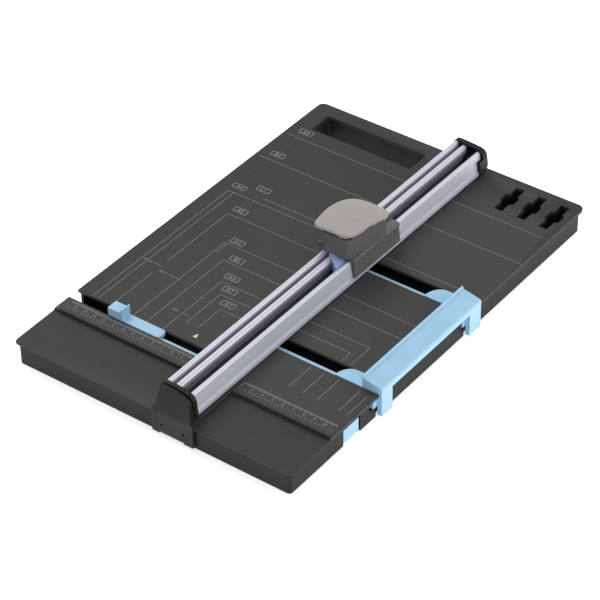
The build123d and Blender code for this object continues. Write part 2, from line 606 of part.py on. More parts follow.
# ---- carriage ----
def palm_pad():
    """Rounded plate under the palm, with the stem that carries the cartridge and a hollow collar."""
    outline = make_face(Spline(*[(x, y, PAD_Z0) for x, y in PAD_PLAN], periodic=True))
    pad = extrude(outline, amount=PAD_Z1 - PAD_Z0, dir=(0, 0, 1))
    pad = fillet(pad.faces().sort_by(Axis.Z)[-1].edges(), 1.8)
    stem = block(CUT_X + 0.6, CUT_X + 7.2, BLADE_Y - 10, BLADE_Y + 10, CARTRIDGE_TOP, PAD_Z0)
    collar = block(HEAD_X0 + 3.2, HEAD_X1 - 5.5, HEAD_Y0 + 4, HEAD_Y1 - 4, BODY_Z1 - 3.0, PAD_Z0)
    collar -= block(HEAD_X0 + 5.0, HEAD_X1 - 7.3, HEAD_Y0 + 5.8, HEAD_Y1 - 5.8, BODY_Z1 - 4, PAD_Z0)
    return pad + stem + collar


def head_body():
    x0, x1, y0, y1 = HEAD_X0, HEAD_X1, HEAD_Y0, HEAD_Y1
    outline = [(x0, y0), (x1 - 3.2, y0), (x1 + 2.2, y1), (x0, y1)]
    inner = [(x0 + 1.8, y0 + 1.8), (x1 - 5.0, y0 + 1.8), (x1 + 0.1, y1 - 1.8), (x0 + 1.8, y1 - 1.8)]
    body = along_z(outline, BODY_Z0, BODY_Z1)
    body = fillet(upright_edges(body), 3.0)
    body -= rod_y(HEAD_PIN_X, HEAD_PIN_Z, y0 - 1, y0 + 3, HEAD_PIN_R + RUN)
    body -= block(x0 + 0.9, x0 + 2.6, y0 - 1, y0 + 1.0, HEAD_PIN_Z + 3.2, BODY_Z1 + 1)
    return body - along_z(inner, BODY_Z0 - 1, BODY_Z1 + 1)


def head_pin():
    """Round pin whose end stands a little out of the head's front."""
    return rod_y(HEAD_PIN_X, HEAD_PIN_Z, HEAD_Y0 - 0.9, HEAD_Y0 + 3.0, HEAD_PIN_R)


def side_cover():
    """Right cover of the carriage, folded over the right extrusion, with a rounded shoulder."""
    steps = [(12.2, 20.7), (12.9, 19.4), (15.4, 5.2), (16.9, 5.2), (15.2, 19.4), (16.2, 21.7, 14.7, 23.4),
             (13.6, BODY_Z0), (7.7, BODY_Z0)]
    section = shifted([(7.7, 20.7)] + steps, CUT_X)
    return profile_y(section[0], section[1:], SKIRT_Y0, SKIRT_Y1)


def glide_block():
    """Slider that runs on the two ridges of the left extrusion and carries the head body."""
    x = CUT_X
    y0, y1 = HEAD_Y0 + 2.2, HEAD_Y1 - 2.2
    slab_part = block(x - 13.5, x - 2.0, y0, y1, 23.45, SLIDE_TOP)
    slab_part += block(x - 6.6, x - 2.2, y0, y1, RIDGE_TOP + GAP, 23.45)
    lip = block(x - 16.2, x - 15.0, y0, y1, 17.0, SLIDE_TOP)
    bridge = block(x - 15.1, x - 13.4, y0, y1, BODY_Z0, SLIDE_TOP)
    return slab_part + lip + bridge + glide_nose()


def glide_nose():
    """Front of the slider: a wedge that closes the blade channel and shows ahead of the head."""
    x, back = CUT_X, HEAD_Y0 + 3.2
    section = [(-7.0, RIDGE_TOP + GAP), (-7.0, NOSE_TOP), (-2.0, NOSE_TOP), (7.8, 20.2), (7.8, 12.0),
               (-0.6, 12.0), (-0.6, RIDGE_TOP + GAP)]
    wedge = along_y([(x + u, z) for u, z in section], NOSE_Y, back)
    wedge &= along_z([(x - 8, 6.2), (x + 8, NOSE_Y), (x + 8, back), (x - 8, back)], 0, 30)
    return wedge + block(x - 7.0, x - 2.2, HEAD_Y0 + 2.2, back, 22.5, SLIDE_TOP)


def press_springs():
    springs = []
    room = PAD_Z0 - SLIDE_TOP - 2 * (SPRING_WIRE_R + RUN)
    for y in (BLADE_Y - SPRING_SPREAD, BLADE_Y + SPRING_SPREAD):
        path = Helix(pitch=3.06, height=room, radius=SPRING_R)
        wire = Plane(origin=path @ 0, z_dir=path % 0) * Circle(SPRING_WIRE_R)
        spring = sweep(wire, path=path, is_frenet=True)
        springs.append(Pos(CUT_X - 8.5, y, SLIDE_TOP + SPRING_WIRE_R + RUN) * spring)
    return group(springs)


def cartridge_plate(x0, x1):
    """The cartridge's outline seen from the side, narrower at the bottom."""
    front = [(-CARTRIDGE_HALF, CARTRIDGE_TOP), (-CARTRIDGE_HALF, CARTRIDGE_WAIST),
             (-CARTRIDGE_LOW_HALF, CARTRIDGE_LOW)]
    side = front + [(-y, z) for y, z in front[::-1]]
    return along_x([(BLADE_Y + y, z) for y, z in side], x0, x1)


def blade_cartridge():
    x0 = CUT_X + BLADE_T / 2 + 0.25
    shell = cartridge_plate(x0, CARTRIDGE_X1)
    shell -= rod_x(x0 + 1.4, CARTRIDGE_X1 + 1, BLADE_Y, BLADE_Z, 9.0)
    shell += rod_x(x0, CARTRIDGE_X1, BLADE_Y, BLADE_Z, 3.6)
    return shell - rod_x(x0 - 1, CARTRIDGE_X1 + 1, BLADE_Y, BLADE_Z, AXLE_R)


def cartridge_lid():
    x0, x1 = CARTRIDGE_X1, CARTRIDGE_X1 + LID_T
    return cartridge_plate(x0, x1) - rod_x(x0 - 1, x1 + 1, BLADE_Y, BLADE_Z, AXLE_R)


def blade_axle():
    x0 = CUT_X - 0.85
    head = rod_x(x0, CUT_X - BLADE_T / 2 - 0.1, BLADE_Y, BLADE_Z, 3.2)
    return head + rod_x(x0, CARTRIDGE_X1 + LID_T, BLADE_Y, BLADE_Z, AXLE_R)


def blade():
    """Round blade, ground to an edge from both sides."""
    half, bore, grind, edge = BLADE_T / 2, AXLE_R + RUN, 1.1, 0.03
    section = [(-half, bore), (half, bore), (half, BLADE_R - grind), (edge, BLADE_R), (-edge, BLADE_R),
               (-half, BLADE_R - grind)]
    face = make_face(Polyline(*[(x, r, 0) for x, r in section], close=True))
    return Pos(CUT_X, BLADE_Y, BLADE_Z) * revolve(face, Axis.X)


def build_all():
    os.makedirs("parts", exist_ok=True)
    makers = [top_deck, bottom_cover, cover_screws, keeper_screws, rubber_feet, cutting_mat,
              front_keeper, rear_keeper, pinion, pinion_post, pinion_screw, left_guide, right_guide,
              rail_left, rail_right, front_end_cap, rear_end_cap, hinge_pin, hinge_bracket,
              bracket_screws, grip_strips, palm_pad, head_body, head_pin, side_cover, glide_block,
              press_springs, blade_cartridge, cartridge_lid, blade_axle, blade]
    for make in makers:
        save(make.__name__, make())


build_all()
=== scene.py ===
from math import radians

import bpy
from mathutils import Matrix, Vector


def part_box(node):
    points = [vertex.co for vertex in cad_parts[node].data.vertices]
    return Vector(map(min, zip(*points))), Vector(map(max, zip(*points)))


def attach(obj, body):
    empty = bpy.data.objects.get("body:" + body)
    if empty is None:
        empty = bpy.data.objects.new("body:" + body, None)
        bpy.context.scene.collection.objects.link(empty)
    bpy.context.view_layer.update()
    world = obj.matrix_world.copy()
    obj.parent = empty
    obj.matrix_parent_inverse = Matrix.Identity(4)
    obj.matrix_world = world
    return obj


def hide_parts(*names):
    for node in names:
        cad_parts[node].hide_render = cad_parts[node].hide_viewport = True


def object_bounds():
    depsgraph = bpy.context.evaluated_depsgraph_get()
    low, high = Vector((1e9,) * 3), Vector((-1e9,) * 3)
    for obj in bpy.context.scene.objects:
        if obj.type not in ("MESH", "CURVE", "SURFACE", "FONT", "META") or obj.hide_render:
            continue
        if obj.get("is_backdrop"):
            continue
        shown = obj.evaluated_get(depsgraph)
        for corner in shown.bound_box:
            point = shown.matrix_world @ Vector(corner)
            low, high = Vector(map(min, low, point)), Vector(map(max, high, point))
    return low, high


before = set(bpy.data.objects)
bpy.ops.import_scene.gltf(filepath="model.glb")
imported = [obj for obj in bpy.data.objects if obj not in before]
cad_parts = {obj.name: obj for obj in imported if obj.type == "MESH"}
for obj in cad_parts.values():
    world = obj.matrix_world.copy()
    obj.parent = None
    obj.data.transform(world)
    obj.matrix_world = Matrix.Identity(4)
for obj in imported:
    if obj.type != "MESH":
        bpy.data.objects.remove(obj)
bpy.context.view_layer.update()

bl_info = {
    "name": "Rotary Paper Trimmer",
    "version": (1, 0, 0),
    "blender": (4, 5, 0),
    "location": "View3D > Sidebar > Trimmer",
    "description": "Builds the looks of a rotary paper trimmer around its fixed frame",
    "category": "Add Mesh",
}

MM = 0.001
INCH = 25.4
DECK_LOW, DECK_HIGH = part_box("top_deck")
MAT_LOW, MAT_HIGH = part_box("cutting_mat")
MID_X = (DECK_LOW[0] + DECK_HIGH[0]) / 2
MID_Y = (DECK_LOW[1] + DECK_HIGH[1]) / 2
SURFACE = MAT_HIGH[2]
CUT_X = ((MAT_LOW[0] + MAT_HIGH[0]) / 2 - MID_X) / MM
WHOLE = (1.0, 1.0, 1.0)

# marks printed on the board, in mm from its middle
RAIL_LEFT, RAIL_RIGHT = 9.5, 41.0
LEFT_SLOT_EDGE = -128.6
# (y of a line across the board, x where it starts on the left, x where it ends on the right)
CROSS_LINES = [(151.8, -133.6, 131.0), (110.4, -133.6, 138.0), (53.1, -123.6, 117.0),
               (60.7, -91.0, RAIL_LEFT), (25.9, -103.4, RAIL_LEFT), (-8.0, -80.1, 114.0),
               (-28.2, -66.3, 114.0), (-52.1, -49.6, 99.2), (-66.0, -39.7, 90.3),
               (-82.0, -27.7, RAIL_LEFT)]
# (x of an upright line, y where it starts at the back, y where it ends in front)
UPRIGHT_LINES = [(-123.6, 53.1, LEFT_SLOT_EDGE), (-117.7, 53.1, LEFT_SLOT_EDGE),
                 (-103.4, 25.9, -56.0), (-103.4, -76.0, LEFT_SLOT_EDGE), (-80.1, -8.0, LEFT_SLOT_EDGE),
                 (-77.4, -8.0, -24.0), (-66.3, -28.2, LEFT_SLOT_EDGE), (-49.6, -52.1, LEFT_SLOT_EDGE),
                 (-39.7, -66.0, -112.0), (-27.7, -82.0, -112.0), (99.2, -52.1, -78.0),
                 (90.3, -66.0, -77.0)]
# (letters, x and y of the middle of the framed label)
FRAMED_LABELS = [("A3", -121.0, 162.6), ("B4", -120.9, 120.3), ("A4", -118.7, 62.6), ("LT", -99.1, 71.1),
                 ("B5", -96.6, 35.2), ("A5", -71.6, -1.6), ("B6", -56.9, -21.6), ("A6", -45.2, -43.4),
                 ("B7", -36.6, -57.8), ("A7", -26.2, -73.4)]
# small labels near the front, each with a short line to its right
SMALL_LABELS = [("10x15", -117.4, -64.7, 10.0), ("9x13", -96.9, -70.2, 12.0), ("6x9", -57.0, -103.7, 9.0)]
ARROW_X, ARROW_Y = -22.5, -120.6
FRONT_TICKS = [(75.2, -98.0), (88.7, -98.5), (102.6, -98.5), (123.8, -100.0), (132.2, -103.0)]
FRONT_TICK_END = -127.5
RULER_BACK, RULER_FRONT = -142.6, -152.2
RULER_START = 20
RULER_ENDS = {-1: -132.0, 1: 134.0}

# the palm pad's dome: how far below the top its shoulder lies, in metres, then the rings up to the
# middle, each as its size beside the ring before and its share of the crown
PAD_SHOULDER = 0.0019
PAD_RINGS = [(0.90, 0.40), (0.87, 0.27), (0.83, 0.19), (0.75, 0.14)]
PAD_EDGE = 0.0004       # the most that the rounding of the pad's lower edge may be

# lettering: sizes in metres, unless they are shares
CAPITAL = 0.70          # height of a capital letter in a font of size one
LETTER_SHARE = 0.62     # height of a framed label's letters beside its frame
SMALL_LETTERS = 0.0026
FRAME_LINE = 0.0006
ARROW_RADIUS = 2.4 * MM

# ruler ticks, in mm
TICK_HALF = 0.2
TICK_LENGTH, LONG_TICK_LENGTH, INCH_TICK_LENGTH = 2.0, 3.2, 1.9
NUMBER_OFFSET = 3.2

# the painted shade in the rail's groove and blade channel: heights above the board in mm, then places
# beside the cut in m
GROOVE_FLOOR, GROOVE_TOP = 13.5, 20.0
RIGHT_WALL = (0.0079, 0.0083)
LEFT_WALL = (-0.0132, -0.0124)

# the stage, in metres, watts and degrees
FLOOR_SIZE, FLOOR_WHITE, FLOOR_GLOW = 16, 0.93, 0.6
SKY_STRENGTH = 0.66
LIGHT_SIZE = 1.3
# (name, place, power, colour)
LIGHTS = [("key_light", (-1.3, 0.5, 1.9), 19.0, (1.0, 0.99, 0.97)),
          ("side_light", (2.1, 0.9, 0.7), 16.0, (0.95, 0.96, 1.0))]
CAMERA_PLACE = (1.0088, -1.3539, 1.3153)
CAMERA_TURN = (51.9743, 0.6503, 36.446)
CAMERA_LENS, SENSOR_WIDTH = 154.71, 36.0


def at(x, y, z=0.0):
    """A place in metres, from mm right of the board's middle, behind it and above its surface."""
    return Vector((MID_X + x * MM, MID_Y + y * MM, SURFACE + z * MM))


# ---- settings ----
def colour_setting(name, description, value):
    """A colour that a user may change."""
    return bpy.props.FloatVectorProperty(name=name, description=description, default=value,
                                         subtype="COLOR", size=3, min=0.0, max=1.0)


def length_setting(name, description, value):
    """A length that a user may change."""
    return bpy.props.FloatProperty(name=name, description=description, default=value,
                                   subtype="DISTANCE", unit="LENGTH", min=0.0)


class TrimmerSizes(bpy.types.PropertyGroup):
    """Sizes of the rounded edges, the printing and the palm pad's crown."""
    deck_edge: length_setting("Deck edge", "Width of the rounding on the board's edges", 0.0005)
    guide_edge: length_setting("Guide edge", "Width of the rounding on the blue guides", 0.0004)
    cap_edge: length_setting("Cap edge", "Width of the rounding on the rail's end caps", 0.0006)
    ink_height: length_setting("Ink height", "How far the printing stands above the board", 0.00005)
    line_width: length_setting("Line width", "Width of the printed size lines", 0.00055)
    label_width: length_setting("Label width", "Width of the framed size labels", 0.0135)
    label_height: length_setting("Label height", "Height of the framed size labels", 0.0066)
    pad_crown: length_setting("Pad crown", "How far the palm pad's top is domed", 0.0016)


class TrimmerColours(bpy.types.PropertyGroup):
    """Colours of the finishes."""
    board: colour_setting("Board", "Charcoal plastic of the board", (0.0350, 0.0352, 0.0332))
    cap: colour_setting("Caps", "Plastic of the rail's end caps", (0.0105, 0.0115, 0.0100))
    guide: colour_setting("Guides", "Light blue plastic of the guides", (0.36, 0.60, 0.80))
    pad: colour_setting("Pad", "Soft coating of the palm pad", (0.365, 0.345, 0.33))
    head: colour_setting("Head", "Grey plastic of the cutting head", (0.116, 0.1150, 0.113))
    cartridge: colour_setting("Cartridge", "Tinted plastic of the blade cartridge", (0.31, 0.41, 0.70))
    metal: colour_setting("Rail", "Anodised aluminium of the rail", (0.66, 0.67, 0.75))
    ink: colour_setting("Ink", "Grey ink of the printed lines", (0.20, 0.20, 0.195))


# ---- tools for meshes ----
def activate(piece):
    """Selects one object alone."""
    bpy.ops.object.select_all(action="DESELECT")
    piece.select_set(True)
    bpy.context.view_layer.objects.active = piece


def settle(piece):
    """Puts the object's place, turn and scale into its mesh."""
    activate(piece)
    bpy.ops.object.transform_apply(location=True, rotation=True, scale=True)


def join(pieces, name):
    """Joins pieces into one object of this name."""
    activate(pieces[0])
    for piece in pieces[1:]:
        piece.select_set(True)
    if len(pieces) > 1:
        bpy.ops.object.join()
    pieces[0].name = name
    pieces[0].data.name = name
    return pieces[0]


def modify(piece, kind, **values):
    """Adds a modifier with these values and applies it."""
    activate(piece)
    modifier = piece.modifiers.new(kind.title(), kind)
    for key, value in values.items():
        setattr(modifier, key, value)
    bpy.ops.object.modifier_apply(modifier=modifier.name)


def smooth(piece, degrees=35.0):
    """Shades smooth, except across edges sharper than this."""
    activate(piece)
    bpy.ops.object.shade_smooth_by_angle(angle=radians(degrees))


def clean_copy(node, name):
    """A copy of a CAD node's mesh, with its doubles merged and its flat faces joined."""
    piece = bpy.data.objects.new(name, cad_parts[node].data.copy())
    bpy.context.scene.collection.objects.link(piece)
    piece.data.name = name
    piece.data.materials.clear()
    activate(piece)
    bpy.ops.object.mode_set(mode="EDIT")
    bpy.ops.mesh.select_all(action="SELECT")
    bpy.ops.mesh.remove_doubles(threshold=1e-6)
    bpy.ops.mesh.dissolve_limited(angle_limit=radians(0.5))
    bpy.ops.object.mode_set(mode="OBJECT")
    return piece


def rounded_copy(node, name, width, segments=2):
    """Stands for a CAD node whose edges are moulded with a small rounding."""
    piece = clean_copy(node, name)
    modify(piece, "BEVEL", width=width, segments=segments, limit_method="ANGLE",
           angle_limit=radians(30), use_clamp_overlap=True)
    smooth(piece)
    modify(piece, "WEIGHTED_NORMAL", keep_sharp=True, weight=60)
    return piece


def finish_piece(piece, body, slot, material, *replaced):
    """Gives a piece its finish, its body and the nodes it stands for."""
    piece.data.materials.clear()
    piece.data.materials.append(material)
    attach(piece, body)
    if replaced:
        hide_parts(*replaced)


def patch(x0, x1, y0, y1):
    """A flat rectangle on the board."""
    bpy.ops.object.select_all(action="DESELECT")
    bpy.ops.mesh.primitive_plane_add(size=1, location=at((x0 + x1) / 2, (y0 + y1) / 2))
    piece = bpy.context.object
    piece.scale = (abs(x1 - x0) * MM, abs(y1 - y0) * MM, 1)
    settle(piece)
    return piece


def thicken(piece, height):
    """Raises flat printing into a thin layer that stands on the board."""
    modify(piece, "SOLIDIFY", thickness=height, offset=1)


def lettering(text, x, y, height, align="LEFT"):
    """Flat letters with their foot at (x, y), as a mesh; height is in metres."""
    bpy.ops.object.select_all(action="DESELECT")
    bpy.ops.object.text_add(location=at(x, y))
    piece = bpy.context.object
    piece.data.body = text
    piece.data.size = height / CAPITAL
    piece.data.resolution_u = 3
    piece.data.space_character = 1.05
    piece.data.align_x = align
    bpy.ops.object.convert(target="MESH")
    piece = bpy.context.object
    settle(piece)
    return piece


# ---- tools for materials ----
def new_material(name):
    """A node material and its main shader."""
    material = bpy.data.materials.new(name)
    material.use_nodes = True
    return material, material.node_tree.nodes["Principled BSDF"]


def link(material, output, target):
    """Joins one socket to another."""
    material.node_tree.links.new(output, target)


def object_coordinates(material, scale=WHOLE):
    """Object coordinates, stretched by scale."""
    nodes = material.node_tree.nodes
    coordinates = nodes.new("ShaderNodeTexCoord")
    mapping = nodes.new("ShaderNodeMapping")
    mapping.inputs["Scale"].default_value = scale
    link(material, coordinates.outputs["Object"], mapping.inputs["Vector"])
    return mapping.outputs["Vector"]


def noise(material, vector, scale, detail=3.0, roughness=0.5):
    """Soft random values over the surface."""
    node = material.node_tree.nodes.new("ShaderNodeTexNoise")
    node.inputs["Scale"].default_value = scale
    node.inputs["Detail"].default_value = detail
    node.inputs["Roughness"].default_value = roughness
    link(material, vector, node.inputs["Vector"])
    return node.outputs["Fac"]


def remap(material, value, low, high, start=0.3, end=0.7):
    """Turns values from start to end into values from low to high."""
    node = material.node_tree.nodes.new("ShaderNodeMapRange")
    node.inputs["From Min"].default_value = start
    node.inputs["From Max"].default_value = end
    node.inputs["To Min"].default_value = low
    node.inputs["To Max"].default_value = high
    link(material, value, node.inputs["Value"])
    return node.outputs["Result"]


def blend_colours(material, factor, first, second):
    """Mixes two colours, each a plain colour or another node's output."""
    node = material.node_tree.nodes.new("ShaderNodeMix")
    node.data_type = "RGBA"
    link(material, factor, node.inputs["Factor"])
    for socket, colour in ((node.inputs[6], first), (node.inputs[7], second)):
        if isinstance(colour, bpy.types.NodeSocket):
            link(material, colour, socket)
        else:
            socket.default_value = (*colour, 1.0)
    return node.outputs[2]


def bump(material, shader, height, strength, distance):
    """Raises and lowers the surface by the height given."""
    node = material.node_tree.nodes.new("ShaderNodeBump")
    node.inputs["Strength"].default_value = strength
    node.inputs["Distance"].default_value = distance
    link(material, height, node.inputs["Height"])
    link(material, node.outputs["Normal"], shader.inputs["Normal"])


def tinted(colour, factor):
    """The colour made lighter or darker by a factor."""
    return tuple(min(1.0, channel * factor) for channel in colour)


def worn_edges(material, colour, worn):
    """Paler where an edge is rubbed."""
    geometry = material.node_tree.nodes.new("ShaderNodeNewGeometry")
    edge = remap(material, geometry.outputs["Pointiness"], 0.0, 1.0, 0.53, 0.62)
    return blend_colours(material, edge, colour, worn)


def place_axis(material, axis):
    """The object coordinate along X, Y or Z, in metres."""
    nodes = material.node_tree.nodes
    split = nodes.new("ShaderNodeSeparateXYZ")
    link(material, nodes.new("ShaderNodeTexCoord").outputs["Object"], split.inputs["Vector"])
    return split.outputs[axis]


def moulded_plastic(name, colour, roughness, grain=0.12, wear=1.5, gloss=0.32, shade_below=None):
    """Moulded plastic: a fine spark-eroded grain, faint clouding and slightly rubbed edges.

    Below the height given the surface is darker: painted shade on the sides and recesses that lie below
    the lit top."""
    material, shader = new_material(name)
    shader.inputs["Specular IOR Level"].default_value = gloss
    vector = object_coordinates(material)
    clouds = noise(material, vector, 38.0, 4.0)
    body = blend_colours(material, remap(material, clouds, 0.0, 1.0), tinted(colour, 0.96),
                         tinted(colour, 1.04))
    body = worn_edges(material, body, tinted(colour, wear))
    # painted shade: below the given height, on the skirts and in the slots and pockets, the colour falls
    # to under half
    if shade_below is not None:
        raised = remap(material, place_axis(material, "Z"), 0.0, 1.0, shade_below - 1.5 * MM, shade_below)
        body = blend_colours(material, raised, tinted(colour, 0.45), body)
    link(material, body, shader.inputs["Base Color"])
    smears = noise(material, vector, 95.0, 5.0, 0.6)
    link(material, remap(material, smears, roughness - 0.03, roughness + 0.04),
         shader.inputs["Roughness"])
    texture = noise(material, vector, 2600.0, 2.0)
    bump(material, shader, texture, grain, 0.00006)
    return material


def highest(material, *values):
    """The largest of several values."""
    best = values[0]
    for value in values[1:]:
        node = material.node_tree.nodes.new("ShaderNodeMath")
        node.operation = "MAXIMUM"
        link(material, best, node.inputs[0])
        link(material, value, node.inputs[1])
        best = node.outputs["Value"]
    return best


def brushed_metal(name, colour, roughness, streak, metallic=1.0):
    """Metal drawn along its length: fine streaks in tone, roughness and height."""
    material, shader = new_material(name)
    shader.inputs["Metallic"].default_value = metallic
    vector = object_coordinates(material, streak)
    streaks = noise(material, vector, 1.0, 4.0, 0.65)
    tone = blend_colours(material, remap(material, streaks, 0.0, 1.0), tinted(colour, 0.93),
                         tinted(colour, 1.05))
    link(material, tone, shader.inputs["Base Color"])
    link(material, remap(material, streaks, roughness - 0.05, roughness + 0.06),
         shader.inputs["Roughness"])
    bump(material, shader, streaks, 0.08, 0.00002)
    return material


def anodised_rail(name, colour, roughness, streak):
    """Satin anodised aluminium, with painted shade down in the groove and the blade channel."""
    material = brushed_metal(name, colour, roughness, streak, 0.35)
    shader = material.node_tree.nodes["Principled BSDF"]
    across, up = place_axis(material, "X"), place_axis(material, "Z")
    cut, _, _ = at(CUT_X, 0.0)
    # painted shade: the colour falls to about a quarter below the groove's top and between the channel's
    # walls
    raised = remap(material, up, 0.0, 1.0, at(0, 0, GROOVE_FLOOR)[2],
                   at(0, 0, GROOVE_TOP)[2])
    right_wall = remap(material, across, 0.0, 1.0, cut + RIGHT_WALL[0], cut + RIGHT_WALL[1])
    left_wall = remap(material, across, 1.0, 0.0, cut + LEFT_WALL[0], cut + LEFT_WALL[1])
    unshaded = highest(material, raised, right_wall, left_wall)
    tone = shader.inputs["Base Color"].links[0].from_socket
    link(material, blend_colours(material, unshaded, tinted(colour, 0.26), tone), shader.inputs["Base Color"])
    return material


def soft_coating(name, colour):
    """Rubbery paint with a velvet sheen and fine pores."""
    material, shader = new_material(name)
    vector = object_coordinates(material)
    clouds = noise(material, vector, 70.0, 4.0)
    body = blend_colours(material, remap(material, clouds, 0.0, 1.0), tinted(colour, 0.95),
                         tinted(colour, 1.05))
    link(material, body, shader.inputs["Base Color"])
    shader.inputs["Sheen Weight"].default_value = 0.15
    shader.inputs["Specular IOR Level"].default_value = 0.35
    link(material, remap(material, clouds, 0.52, 0.64), shader.inputs["Roughness"])
    bump(material, shader, noise(material, vector, 3200.0, 2.0), 0.15, 0.00005)
    return material


def printing_ink(name, colour):
    """Pad-printed ink, a little uneven where the grain takes less of it."""
    material, shader = new_material(name)
    vector = object_coordinates(material)
    patches = noise(material, vector, 900.0, 3.0)
    body = blend_colours(material, remap(material, patches, 0.0, 1.0), tinted(colour, 0.82),
                         tinted(colour, 1.12))
    link(material, body, shader.inputs["Base Color"])
    link(material, remap(material, patches, 0.48, 0.62), shader.inputs["Roughness"])
    return material


FINISHES = {}


def finish(name):
    """The finish of that name, made from the colour settings the first time it is asked for."""
    colours = bpy.context.scene.trimmer_colours
    along_rail = (2600.0, 22.0, 2600.0)
    across_bore = (900.0, 900.0, 900.0)
    recipes = {
        # the board is painted darker from 2.3 mm below its top down: painted shade on its skirts and in
        # its recesses
        "board": lambda: moulded_plastic("charcoal_board", tuple(colours.board), 0.5, gloss=0.2,
                                         shade_below=at(0, 0, -2.3)[2]),
        "underside": lambda: moulded_plastic("underside_plastic", tinted(colours.board, 0.8), 0.55),
        "cap": lambda: moulded_plastic("cap_plastic", tuple(colours.cap), 0.45, 0.06, 2.2, 0.2),
        "guide": lambda: moulded_plastic("blue_guide_plastic", tuple(colours.guide), 0.38, 0.06, 1.08),
        "head": lambda: moulded_plastic("head_plastic", tuple(colours.head), 0.42, 0.08, 1.3),
        "cartridge": lambda: moulded_plastic("cartridge_plastic", tuple(colours.cartridge), 0.3, 0.04,
                                             1.1),
        "mat": lambda: moulded_plastic("cutting_strip", tinted(colours.board, 0.7), 0.6, 0.2, 1.2),
        "rubber": lambda: moulded_plastic("foot_rubber", (0.012, 0.012, 0.012), 0.8, 0.4, 1.4),
        "pad": lambda: soft_coating("soft_pad_coating", tuple(colours.pad)),
        "rail": lambda: anodised_rail("anodised_rail", tuple(colours.metal), 0.42, along_rail),
        "steel": lambda: brushed_metal("bright_steel", (0.58, 0.58, 0.57), 0.25, across_bore),
        "blade": lambda: brushed_metal("blade_steel", (0.72, 0.72, 0.73), 0.16, across_bore),
        "ink": lambda: printing_ink("grey_ink", tuple(colours.ink)),
        "label_ink": lambda: printing_ink("label_ink", (0.27, 0.27, 0.26)),
        "white_ink": lambda: printing_ink("white_ink", (0.72, 0.72, 0.70)),
    }
    if name not in FINISHES:
        FINISHES[name] = recipes[name]()
    return FINISHES[name]


# ---- operators ----
class TRIMMER_OT_board(bpy.types.Operator):
    """Make the board and its bottom cover with rounded edges"""
    bl_idname = "trimmer.board"
    bl_label = "Board"

    def execute(self, context):
        width = context.scene.trimmer_sizes.deck_edge
        deck = rounded_copy("top_deck", "board_moulding", width)
        finish_piece(deck, "base", "deck_plastic", finish("board"), "top_deck")
        cover = rounded_copy("bottom_cover", "bottom_cover_moulding", width / 2)
        finish_piece(cover, "base", "cover_plastic", finish("underside"), "bottom_cover")
        return {"FINISHED"}


class TRIMMER_OT_rail_caps(bpy.types.Operator):
    """Make the end caps of the rail with rounded edges"""
    bl_idname = "trimmer.rail_caps"
    bl_label = "Rail caps"

    def execute(self, context):
        width = context.scene.trimmer_sizes.cap_edge
        for node in ("front_end_cap", "rear_end_cap"):
            cap = rounded_copy(node, node + "_moulding", width, 3)
            finish_piece(cap, "rail", "cap_plastic", finish("cap"), node)
        return {"FINISHED"}


class TRIMMER_OT_guides(bpy.types.Operator):
    """Make both sliding guides with rounded edges"""
    bl_idname = "trimmer.guides"
    bl_label = "Guides"

    def execute(self, context):
        width = context.scene.trimmer_sizes.guide_edge
        for side in ("left", "right"):
            guide = rounded_copy(side + "_guide", side + "_guide_moulding", width)
            finish_piece(guide, side + "_guide_body", "guide_plastic", finish("guide"),
                         side + "_guide")
        return {"FINISHED"}


def crowned_pad(crown):
    """The palm pad with a soft lower edge and a gently domed top."""
    pad = clean_copy("palm_pad", "palm_pad_moulding")
    modify(pad, "BEVEL", width=PAD_EDGE, segments=3, limit_method="ANGLE", angle_limit=radians(50))
    low, high = (Vector(corner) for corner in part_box("palm_pad"))
    middle, top = (low + high) / 2, high.z
    for vertex in pad.data.vertices:
        vertex.select = vertex.co.z > top - PAD_SHOULDER
    activate(pad)
    bpy.ops.object.mode_set(mode="EDIT")
    bpy.ops.mesh.select_mode(type="VERT")
    bpy.ops.transform.translate(value=(0, 0, -crown))
    bpy.ops.mesh.select_all(action="DESELECT")
    bpy.ops.object.mode_set(mode="OBJECT")
    for face in pad.data.polygons:
        face.select = face.normal.z > 0.99 and face.center.z > top - crown - 0.0001
    bpy.ops.object.mode_set(mode="EDIT")
    bpy.ops.mesh.select_mode(type="FACE")
    for scale, share in PAD_RINGS:
        rise = (0, 0, crown * share)
        bpy.ops.mesh.extrude_region_move(TRANSFORM_OT_translate={"value": rise})
        bpy.ops.transform.resize(value=(scale, scale, 1), center_override=middle)
    bpy.ops.object.mode_set(mode="OBJECT")
    smooth(pad, 60.0)
    return pad


class TRIMMER_OT_head(bpy.types.Operator):
    """Make the cutting head: body, side cover, glide and palm pad"""
    bl_idname = "trimmer.head"
    bl_label = "Cutting head"

    def execute(self, context):
        rows = (("head_body", "carriage", "head_plastic", "head", 0.0008),
                ("side_cover", "carriage", "head_plastic", "head", 0.0006),
                ("glide_block", "carriage", "cartridge_plastic", "cartridge", 0.0003),
                ("blade_cartridge", "press_head", "cartridge_plastic", "cartridge", 0.0003),
                ("cartridge_lid", "press_head", "cartridge_plastic", "cartridge", 0.0002))
        for node, body, slot, look, width in rows:
            piece = rounded_copy(node, node + "_moulding", width)
            finish_piece(piece, body, slot, finish(look), node)
        pad = crowned_pad(context.scene.trimmer_sizes.pad_crown)
        finish_piece(pad, "press_head", "pad_plastic", finish("pad"), "palm_pad")
        return {"FINISHED"}


